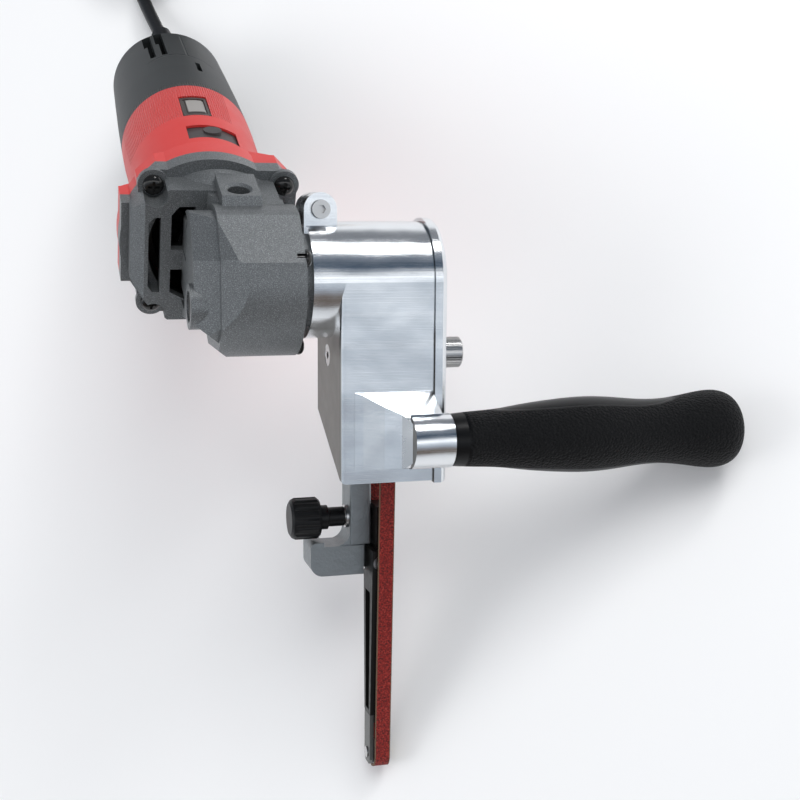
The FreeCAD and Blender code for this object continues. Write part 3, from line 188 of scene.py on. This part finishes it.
class Finish:
    """A material under construction: short calls that add nodes and link them."""

    def __init__(self, name, color, metallic=0.0, roughness=0.5, coat=0.0, specular=0.5):
        self.material = bpy.data.materials.new(name)
        self.material.use_nodes = True
        self.nodes = self.material.node_tree.nodes
        self.links = self.material.node_tree.links
        self.shader = self.nodes["Principled BSDF"]
        self.shader.inputs["Base Color"].default_value = (*color, 1.0)
        self.shader.inputs["Metallic"].default_value = metallic
        self.shader.inputs["Roughness"].default_value = roughness
        self.shader.inputs["Coat Weight"].default_value = coat
        self.shader.inputs["Specular IOR Level"].default_value = specular
        self.coordinates = self.nodes.new("ShaderNodeTexCoord")
        self.normal = None

    def math(self, operation, *values):
        """One calculation on numbers and sockets, as a socket."""
        node = self.nodes.new("ShaderNodeMath")
        node.operation = operation
        for socket, value in zip(node.inputs, values):
            if isinstance(value, (int, float)):
                socket.default_value = value
            else:
                self.links.new(value, socket)
        return node.outputs[0]

    def product(self, first, second):
        return self.math("MULTIPLY", first, second)

    def square(self, value):
        return self.math("MULTIPLY", value, value)

    def inverse(self, value):
        """One minus a value."""
        return self.math("SUBTRACT", 1.0, value)

    def apart(self, first, second):
        """How far apart two values are."""
        return self.math("ABSOLUTE", self.math("SUBTRACT", first, second))

    def noise(self, scale, detail=3.0, stretch=None):
        node = self.nodes.new("ShaderNodeTexNoise")
        node.inputs["Scale"].default_value = scale
        node.inputs["Detail"].default_value = detail
        source = self.coordinates.outputs["Object"]
        if stretch is not None:
            mapping = self.nodes.new("ShaderNodeMapping")
            mapping.inputs["Scale"].default_value = stretch
            self.links.new(source, mapping.inputs["Vector"])
            source = mapping.outputs[0]
        self.links.new(source, node.inputs["Vector"])
        return node.outputs["Fac"]

    def streaks(self, measure, scale, detail):
        """Noise that changes along one measure only."""
        node = self.nodes.new("ShaderNodeTexNoise")
        node.noise_dimensions = "1D"
        node.inputs["Scale"].default_value = scale
        node.inputs["Detail"].default_value = detail
        self.links.new(measure, node.inputs["W"])
        return node.outputs["Fac"]

    def cells(self, scale):
        """Rounded cells: the distance from the middle of the nearest one."""
        node = self.nodes.new("ShaderNodeTexVoronoi")
        node.inputs["Scale"].default_value = scale
        self.links.new(self.coordinates.outputs["Object"], node.inputs["Vector"])
        return node.outputs["Distance"]

    def dot(self, output, axis):
        """The part of a texture coordinate that lies along an axis, as a socket."""
        node = self.nodes.new("ShaderNodeVectorMath")
        node.operation = "DOT_PRODUCT"
        node.inputs[1].default_value = axis
        self.links.new(self.coordinates.outputs[output], node.inputs[0])
        return node.outputs["Value"]

    def along(self, axis, centre):
        """Millimetres along an axis from a point, as a socket."""
        start = -MM_PER_METRE * axis.dot(centre)
        return self.math("MULTIPLY_ADD", self.dot("Object", axis), MM_PER_METRE, start)

    def facing(self, axis):
        """How squarely the surface faces along an axis, from minus one to one, as a socket."""
        return self.dot("Normal", axis)

    def ramp_up(self, value, limit, soft):
        """Zero below a limit and one above it, changing over within soft of it."""
        node = self.nodes.new("ShaderNodeMapRange")
        node.interpolation_type = "SMOOTHSTEP"
        node.inputs["From Min"].default_value = limit - soft
        node.inputs["From Max"].default_value = limit + soft
        self.links.new(value, node.inputs["Value"])
        return node.outputs["Result"]

    def ramp_down(self, value, limit, soft):
        """One below a limit and zero above it, changing over within soft of it."""
        return self.inverse(self.ramp_up(value, limit, soft))

    def between(self, value, limits, soft=0.4):
        """One between two limits and zero outside them."""
        low, high = limits
        return self.product(self.ramp_up(value, low, soft), self.ramp_down(value, high, soft))

    def bump(self, height, depth):
        """Adds relief; depth is in metres."""
        node = self.nodes.new("ShaderNodeBump")
        node.inputs["Distance"].default_value = depth
        node.inputs["Strength"].default_value = 1.0
        self.links.new(height, node.inputs["Height"])
        if self.normal is not None:
            self.links.new(self.normal, node.inputs["Normal"])
        self.normal = node.outputs["Normal"]
        self.links.new(self.normal, self.shader.inputs["Normal"])

    def roughen(self, value, low, high):
        """Roughness from low to high, as the value goes from zero to one."""
        node = self.nodes.new("ShaderNodeMapRange")
        node.inputs["To Min"].default_value = low
        node.inputs["To Max"].default_value = high
        self.links.new(value, node.inputs["Value"])
        self.links.new(node.outputs["Result"], self.shader.inputs["Roughness"])

    def colors(self, factor, stops):
        """A colour that follows a value through several stops, as a socket."""
        node = self.nodes.new("ShaderNodeValToRGB")
        fill_ramp(node.color_ramp, stops)
        self.links.new(factor, node.inputs["Fac"])
        return node.outputs["Color"]

    def mix_color(self, factor, first, second):
        """Blends two colours, given as sockets or as triples, into the base colour."""
        node = self.nodes.new("ShaderNodeMix")
        node.data_type = "RGBA"
        for i, value in ((MIX_FIRST, first), (MIX_SECOND, second)):
            if isinstance(value, tuple):
                node.inputs[i].default_value = (*value, 1.0)
            else:
                self.links.new(value, node.inputs[i])
        self.links.new(factor, node.inputs[0])
        self.links.new(node.outputs[MIX_RESULT], self.shader.inputs["Base Color"])

    def apply(self, *names):
        """Puts the finish on pieces, by their names in the frame."""
        for name in names:
            self.dress(NODES[name])

    def dress(self, piece):
        piece.data.materials.clear()
        piece.data.materials.append(self.material)


# Places on the motor: millimetres back along it, degrees round from its top, and millimetres
# out from its axis.
RIB_ANGLES = (-80.0, 30.0)
RIB_PITCH = 2.1
BARREL_RIBS = (97.0, 131.0)
COVER_RIBS = (131.0, 136.0)
SEAM_PLACE = 176.5
SEAM_BOW = -0.0045
SEAM_ANGLES = (-31.0, 33.0)
SEAM_HALF_WIDTH = 0.45
GROOVE_RUN = (176.5, 208.0)
GROOVE_ANGLE = 8.5
GROOVE_HALF_ANGLE = 0.8
BARREL_INSIDE = 27.4
FLANGE_INSIDE = 27.6
FLANGE_FRONT = 24.5
LID_PLATE_RUN = (101.5, 115.0)
LID_PLATE_HALF_WIDTH = 3.9

# Places on the head and the grip, in millimetres from the spindle's centre.
ROUGH_CASTING_TOP = -18.0
BELT_MIDDLE = 38.6
BELT_WIDTH = 6.3
BELT_EDGE = 0.32
BELT_FRAY = 0.5
GRIP_BACK = -35.0
GRIP_UP = -58.8
GRIP_ROOT_END = 62.0
OVAL_MIDDLE = 112.0
OVAL_HALF_LENGTH = 38.0
OVAL_HALF_WIDTH = 8.0
OVAL_LEAST_HEIGHT = 4.0

# How squarely a face of the head has to look at the motor to be left as it was cast.
LOOKS_AT_MOTOR = 0.8
BUFFED_ROUGHNESS = 0.10
BUFFED_SPREAD = 0.16
AS_CAST_EXTRA = 0.26

RED = (0.60, 0.038, 0.034)
# Painted shade for the motor housing's unlit inside.
INSIDE_PAINTED_SHADE = (0.012, 0.009, 0.008)
CAST_SHADOW = (0.02, 0.02, 0.02)
BRIGHT_ALUMINIUM = (0.80, 0.82, 0.84)
ROUGH_ALUMINIUM = (0.22, 0.21, 0.195)
LID_PLATE = (0.30, 0.285, 0.27)
LID_FRAME = (0.055, 0.045, 0.042)
WORN_CLOTH = (0.17, 0.10, 0.06)
PAINT_FLECKS = [
    (0.35, (0.13, 0.138, 0.143)), (0.55, (0.185, 0.195, 0.20)), (0.72, (0.36, 0.375, 0.38)),
]
GRIT = [
    (0.30, (0.05, 0.004, 0.0035)), (0.47, (0.19, 0.009, 0.007)),
    (0.60, (0.31, 0.020, 0.014)), (0.75, (0.42, 0.07, 0.05)),
]


def motor_sides(finish):
    """Millimetres across and above the motor's axis, as two sockets."""
    return finish.along(SPINDLE_AXIS, MOTOR_CENTRE), finish.along(MOTOR_UP, MOTOR_CENTRE)


def motor_angle(finish):
    """Degrees round the motor from its top, toward the spindle's far end, as a socket."""
    return finish.product(finish.math("ARCTAN2", *motor_sides(finish)), 180 / math.pi)


def motor_radius(finish):
    """Millimetres from the motor's axis, as a socket."""
    across, up = motor_sides(finish)
    return finish.math("SQRT", finish.math("ADD", finish.square(across), finish.square(up)))


def ribs(finish, angle, run, run_limits, depth):
    """Fine parallel ribs moulded lengthways over part of the motor's skin."""
    wave = finish.math("SINE", finish.product(angle, 2 * math.pi / RIB_PITCH))
    mask = finish.product(finish.between(angle, RIB_ANGLES), finish.between(run, run_limits))
    finish.bump(finish.product(wave, mask), depth)


def red_plastic():
    finish = Finish("red_plastic", RED, roughness=0.42)
    finish.bump(finish.noise(1800.0, detail=2.0), depth=0.00003)
    run = finish.along(MOTOR_AXIS, MOTOR_CENTRE)
    ribs(finish, motor_angle(finish), run, BARREL_RIBS, depth=0.00016)
    finish.roughen(finish.noise(90.0), low=0.36, high=0.5)
    # The inside is never lit, so it is painted dark, as painted shade.
    outside = finish.ramp_up(motor_radius(finish), BARREL_INSIDE, soft=0.2)
    finish.mix_color(outside, INSIDE_PAINTED_SHADE, RED)
    finish.apply("motor_housing")


def charcoal_plastic():
    finish = Finish("charcoal_plastic", (0.024, 0.027, 0.028), roughness=0.5)
    finish.bump(finish.noise(2200.0, detail=2.0), depth=0.00005)
    angle = motor_angle(finish)
    run = finish.along(MOTOR_AXIS, MOTOR_CENTRE)
    ribs(finish, angle, run, COVER_RIBS, depth=0.0001)
    # A shallow seam arches over the top of the cover, and a groove runs back from it.
    bow = finish.math("MULTIPLY_ADD", finish.square(angle), SEAM_BOW, SEAM_PLACE)
    line = finish.ramp_down(finish.apart(run, bow), SEAM_HALF_WIDTH, soft=0.3)
    seam = finish.product(line, finish.between(angle, SEAM_ANGLES, soft=1.0))
    side = finish.ramp_down(finish.apart(angle, GROOVE_ANGLE), GROOVE_HALF_ANGLE, soft=0.4)
    groove = finish.product(side, finish.between(run, GROOVE_RUN))
    finish.bump(finish.inverse(finish.math("MAXIMUM", seam, groove)), depth=0.00035)
    finish.apply("rear_cover")


def cast_grey():
    """Silver-grey paint over a die casting, with fine bright flecks."""
    finish = Finish("cast_grey", (0.27, 0.285, 0.295), metallic=0.6, roughness=0.42)
    paint = finish.colors(finish.noise(3200.0, detail=2.0), PAINT_FLECKS)
    depth = finish.ramp_up(finish.along(MOTOR_AXIS, MOTOR_CENTRE), FLANGE_FRONT, soft=0.3)
    near_axis = finish.ramp_down(motor_radius(finish), FLANGE_INSIDE, soft=0.2)
    finish.mix_color(finish.product(depth, near_axis), paint, CAST_SHADOW)
    finish.bump(finish.noise(2400.0), depth=0.00012)
    finish.bump(finish.noise(260.0, detail=2.0), depth=0.00008)
    finish.roughen(finish.noise(2600.0, detail=2.0), low=0.32, high=0.55)
    finish.apply("gear_case", "bearing_plate")


def polished_aluminium():
    """A buffed casting; its face toward the motor is left as it was cast."""
    finish = Finish("polished_aluminium", BRIGHT_ALUMINIUM, metallic=1.0, roughness=0.16)
    height = finish.along(ARM_UP, SPINDLE_CENTRE)
    toward_motor = finish.product(finish.facing(SPINDLE_AXIS), -1.0)
    motor_face = finish.ramp_up(toward_motor, LOOKS_AT_MOTOR, soft=0.15)
    low = finish.ramp_down(height, ROUGH_CASTING_TOP, soft=3.0)
    as_cast = finish.product(motor_face, low)
    finish.mix_color(as_cast, BRIGHT_ALUMINIUM, ROUGH_ALUMINIUM)
    finish.bump(finish.noise(38.0, detail=1.5), depth=0.0011)
    finish.bump(finish.noise(240.0), depth=0.00003)
    finish.bump(finish.streaks(height, 5.0, detail=3.0), depth=0.00002)
    uneven = finish.noise(150.0, detail=4.0)
    buffed = finish.math("MULTIPLY_ADD", uneven, BUFFED_SPREAD, BUFFED_ROUGHNESS)
    roughness = finish.math("MULTIPLY_ADD", as_cast, AS_CAST_EXTRA, buffed)
    finish.links.new(roughness, finish.shader.inputs["Roughness"])
    finish.apply("head_housing", "side_cover")


def cast_aluminium():
    finish = Finish("cast_aluminium", (0.27, 0.29, 0.30), metallic=0.85, roughness=0.42)
    finish.bump(finish.noise(900.0, detail=4.0), depth=0.00012)
    finish.bump(finish.noise(90.0, detail=2.0), depth=0.0004)
    finish.roughen(finish.noise(500.0), low=0.32, high=0.55)
    finish.apply("tension_slider", "drive_pulley", "idler_pulley")


def steel():
    finish = Finish("steel", (0.58, 0.575, 0.57), metallic=1.0, roughness=0.28)
    finish.bump(finish.noise(700.0, detail=2.0, stretch=(1.0, 1.0, 6.0)), depth=0.00002)
    finish.apply(
        "stator_core", "motor_bearings", "spindle_bearings", "armature_shaft", "armature_core",
        "pinion_gear", "spindle_shaft", "bevel_gear", "pulley_nut", "clamp_screw", "cover_stud",
        "guide_rod", "grip_stud", "cover_nut", "arm_pivot_pin", "tracking_washer", "idler_axle",
        "platen", "tracking_screw",
    )


def dark_steel():
    finish = Finish("dark_steel", (0.16, 0.16, 0.155), metallic=0.9, roughness=0.4)
    finish.bump(finish.noise(300.0), depth=0.0001)
    finish.apply("idler_bracket")


def black_screws():
    finish = Finish(
        "black_screws", (0.022, 0.021, 0.02), metallic=0.6, roughness=0.2, coat=0.4)
    finish.apply("gear_case_screws", "bearing_plate_screws", "rear_cover_screws")


def black_enamel():
    finish = Finish("black_enamel", (0.006, 0.0055, 0.005), roughness=0.32, specular=0.3)
    finish.bump(finish.noise(250.0), depth=0.0001)
    finish.roughen(finish.noise(400.0), low=0.25, high=0.5)
    finish.apply("belt_arm")


def copper():
    finish = Finish("copper", (0.72, 0.30, 0.14), metallic=0.9, roughness=0.35)
    finish.bump(finish.noise(900.0, detail=1.0, stretch=(1.0, 1.0, 0.1)), depth=0.0003)
    finish.apply("stator_coils", "armature_windings", "commutator")


def brass():
    finish = Finish("brass", (0.76, 0.56, 0.27), metallic=1.0, roughness=0.3)
    finish.apply("brush_holders", "idler_bush", "plug_pins")


def graphite():
    finish = Finish("graphite", (0.03, 0.03, 0.03), roughness=0.6)
    finish.apply("carbon_brushes")


def black_plastic():
    finish = Finish("black_plastic", (0.005, 0.005, 0.0055), roughness=0.38, specular=0.25)
    finish.bump(finish.noise(1200.0, detail=2.0), depth=0.00006)
    finish.apply(
        "rear_bearing_bridge", "air_baffle", "switch_block", "cord_clamp", "cooling_fan",
        "lock_button", "grip_core", "tracking_knob",
    )


def switch_plastic():
    finish = Finish("switch_plastic", (0.055, 0.05, 0.05), roughness=0.5)
    finish.bump(finish.noise(1500.0, detail=2.0), depth=0.00005)
    finish.apply("switch_slider")


def lid_plastic():
    """Brush covers: a dark frame round a pale plate."""
    finish = Finish("lid_plastic", LID_PLATE, roughness=0.45)
    run = finish.along(MOTOR_AXIS, MOTOR_CENTRE)
    across = finish.math("ABSOLUTE", finish.along(SPINDLE_AXIS, MOTOR_CENTRE))
    within = finish.ramp_down(across, LID_PLATE_HALF_WIDTH, soft=0.15)
    plate = finish.product(within, finish.between(run, LID_PLATE_RUN, soft=0.15))
    finish.mix_color(plate, LID_FRAME, LID_PLATE)
    finish.bump(plate, depth=0.0004)
    finish.apply("brush_covers")


def grip_rubber():
    """Pebbled rubber with a smooth long oval on two sides and a smooth ring at the root."""
    finish = Finish("grip_rubber", (0.0035, 0.0036, 0.0040), roughness=0.5, specular=0.22)
    centre = SPINDLE_CENTRE + (ARM_BACK * GRIP_BACK + ARM_UP * GRIP_UP) * MM
    run = finish.along(SPINDLE_AXIS, SPINDLE_CENTRE)
    depth = finish.along(ARM_BACK, centre)
    height = finish.along(ARM_UP, centre)
    lengthways = finish.math(
        "DIVIDE", finish.math("SUBTRACT", run, OVAL_MIDDLE), OVAL_HALF_LENGTH)
    widthways = finish.math("DIVIDE", depth, OVAL_HALF_WIDTH)
    oval = finish.math("ADD", finish.square(lengthways), finish.square(widthways))
    sideways = finish.ramp_up(finish.math("ABSOLUTE", height), OVAL_LEAST_HEIGHT, soft=0.5)
    smooth_oval = finish.product(finish.ramp_down(oval, 1.0, soft=0.12), sideways)
    smooth_root = finish.ramp_down(run, GRIP_ROOT_END, soft=0.8)
    pebbled = finish.inverse(finish.math("MAXIMUM", smooth_oval, smooth_root))
    finish.bump(finish.product(finish.inverse(finish.cells(1000.0)), pebbled), depth=0.0005)
    finish.bump(pebbled, depth=0.0006)
    finish.roughen(pebbled, low=0.36, high=0.62)
    finish.apply("side_grip")


def abrasive():
    """Red grit on the belt's faces, with pale worn cloth at its two edges."""
    finish = Finish("abrasive", (0.32, 0.02, 0.014), roughness=0.75)
    offset = finish.apart(finish.along(SPINDLE_AXIS, SPINDLE_CENTRE), BELT_MIDDLE)
    least = finish.math("SUBTRACT", offset, BELT_FRAY / 2)
    ragged = finish.math("MULTIPLY_ADD", finish.noise(900.0), BELT_FRAY, least)
    edge = finish.ramp_up(ragged, BELT_WIDTH / 2 - BELT_EDGE, soft=0.12)
    grit = finish.colors(finish.noise(1500.0, detail=4.0), GRIT)
    finish.mix_color(edge, grit, WORN_CLOTH)
    finish.bump(finish.noise(1300.0, detail=5.0), depth=0.0006)
    finish.apply("sanding_belt")


def cord_rubber(cord):
    """The boot, the plug's body and the cord between them."""
    finish = Finish("cord_rubber", (0.014, 0.0145, 0.016), roughness=0.42)
    finish.bump(finish.noise(500.0, detail=2.0), depth=0.00008)
    finish.apply("cord_boot", "power_plug")
    finish.dress(cord)


# Belt -------------------------------------------------------------------------------------


def add_belt():
    """A copy of the belt, carried by the sander head."""
    source = NODES["sanding_belt"]
    belt = bpy.data.objects.new("belt_on_arm", source.data.copy())
    bpy.context.scene.collection.objects.link(belt)
    belt.matrix_world = source.matrix_world
    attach(belt, "sander_head")
    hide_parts("sanding_belt")
    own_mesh(belt)


# Edges ------------------------------------------------------------------------------------

EDGE_WIDTHS = {
    "head_housing": 0.0022, "side_cover": 0.0008, "gear_case": 0.0007, "tension_slider": 0.0009,
    "motor_housing": 0.0005, "rear_cover": 0.0004, "belt_arm": 0.0004, "tracking_knob": 0.0003,
    "lock_button": 0.0003, "cover_nut": 0.0003, "clamp_screw": 0.0002, "switch_slider": 0.0002,
}
EDGE_SEGMENTS = 2
SHARP_EDGE = math.radians(35.0)


def soften(name, width):
    """Rounds a casting's or moulding's sharp edges."""
    bevel = NODES[name].modifiers.new("edge_round", "BEVEL")
    bevel.width = width
    bevel.segments = EDGE_SEGMENTS
    bevel.limit_method = "ANGLE"
    bevel.angle_limit = SHARP_EDGE


# Floor ------------------------------------------------------------------------------------

FLOOR_REACH = 6.0
FLOOR_DROP = 0.0005


def add_floor():
    """A white table top, a hair below the tool so that the two don't share a plane."""
    mesh = bpy.data.meshes.new("floor")
    corners = [
        (x * FLOOR_REACH, y * FLOOR_REACH, -FLOOR_DROP)
        for x, y in ((-1, -1), (1, -1), (1, 1), (-1, 1))
    ]
    mesh.from_pydata(corners, [], [(0, 1, 2, 3)])
    floor = bpy.data.objects.new("floor", mesh)
    bpy.context.scene.collection.objects.link(floor)
    Finish("floor_white", (0.93, 0.93, 0.93), roughness=0.7).dress(floor)


# Light ------------------------------------------------------------------------------------

ROOM_COLOR = (0.84, 0.87, 0.92, 1.0)
ROOM_STRENGTH = 0.56
# What shiny surfaces mirror, from the bottom of the camera's view round to its top.
WALL_BANDS = [
    (0.00, (0.10, 0.08, 0.07)), (0.22, (0.17, 0.14, 0.12)), (0.30, (0.34, 0.38, 0.44)),
    (0.37, (0.54, 0.60, 0.68)), (0.44, (0.80, 0.87, 0.94)), (0.48, (1.60, 1.62, 1.65)),
    (0.53, (1.50, 1.52, 1.55)), (0.58, (0.10, 0.14, 0.20)), (0.74, (0.035, 0.055, 0.085)),
    (0.79, (0.30, 0.34, 0.40)), (0.84, (0.05, 0.07, 0.10)), (0.95, (0.10, 0.12, 0.15)),
    (1.00, (0.28, 0.29, 0.31)),
]
LAMP_AIM = (0, 0, 0.05)


def add_light(name, place, target, width, height, power, mirrored=False):
    """A soft box in metres and watts; shiny surfaces show it only if it is mirrored."""
    data = bpy.data.lights.new(name, "AREA")
    data.energy = power
    data.shape = "RECTANGLE"
    data.size = width
    data.size_y = height
    lamp = bpy.data.objects.new(name, data)
    bpy.context.scene.collection.objects.link(lamp)
    lamp.location = place
    lamp.rotation_euler = (Vector(target) - Vector(place)).to_track_quat("-Z", "Y").to_euler()
    lamp.visible_glossy = mirrored


def add_room():
    """A pale room; shiny surfaces see darker walls with a bright strip instead."""
    world = bpy.data.worlds.new("studio")
    world.use_nodes = True
    nodes = world.node_tree.nodes
    links = world.node_tree.links
    background = nodes["Background"]
    background.inputs["Color"].default_value = ROOM_COLOR
    background.inputs["Strength"].default_value = ROOM_STRENGTH
    coordinates = nodes.new("ShaderNodeTexCoord")
    height = nodes.new("ShaderNodeVectorMath")
    height.operation = "DOT_PRODUCT"
    height.inputs[1].default_value = CAMERA_UP
    links.new(coordinates.outputs["Generated"], height.inputs[0])
    place = nodes.new("ShaderNodeMapRange")
    place.inputs["From Min"].default_value = -1.0
    links.new(height.outputs["Value"], place.inputs["Value"])
    bands = nodes.new("ShaderNodeValToRGB")
    fill_ramp(bands.color_ramp, WALL_BANDS)
    links.new(place.outputs["Result"], bands.inputs["Fac"])
    walls = nodes.new("ShaderNodeBackground")
    links.new(bands.outputs["Color"], walls.inputs["Color"])
    rays = nodes.new("ShaderNodeLightPath")
    choice = nodes.new("ShaderNodeMixShader")
    links.new(rays.outputs["Is Glossy Ray"], choice.inputs[0])
    links.new(background.outputs[0], choice.inputs[1])
    links.new(walls.outputs[0], choice.inputs[2])
    links.new(choice.outputs[0], nodes["World Output"].inputs["Surface"])
    bpy.context.scene.world = world


def add_lamps():
    """Two soft boxes for the light and its shadows, and one small lamp for highlights."""
    add_light("key", (0.6, 0.75, 1.3), LAMP_AIM, width=0.9, height=1.4, power=13.0)
    add_light("fill", (-0.9, -0.5, 1.0), LAMP_AIM, width=0.8, height=0.8, power=5.0)
    # This one puts a bright line on round metal and a sheen on the painted casting.
    add_light(
        "sheen", (0.65, 1.13, 0.85), (-0.02, 0, 0.13), width=0.35, height=0.35, power=4.0,
        mirrored=True,
    )


# Build ------------------------------------------------------------------------------------

add_camera()
cord = add_cord()
for make in (
    red_plastic, charcoal_plastic, cast_grey, polished_aluminium, cast_aluminium, dark_steel,
    black_screws, black_enamel, copper, brass, graphite, black_plastic, switch_plastic,
    lid_plastic, grip_rubber, abrasive, steel,
):
    make()
cord_rubber(cord)
add_belt()
for name, width in EDGE_WIDTHS.items():
    soften(name, width)
add_floor()
add_room()
add_lamps()
bpy.context.scene.view_settings.view_transform = "Standard"

bpy.context.view_layer.update()
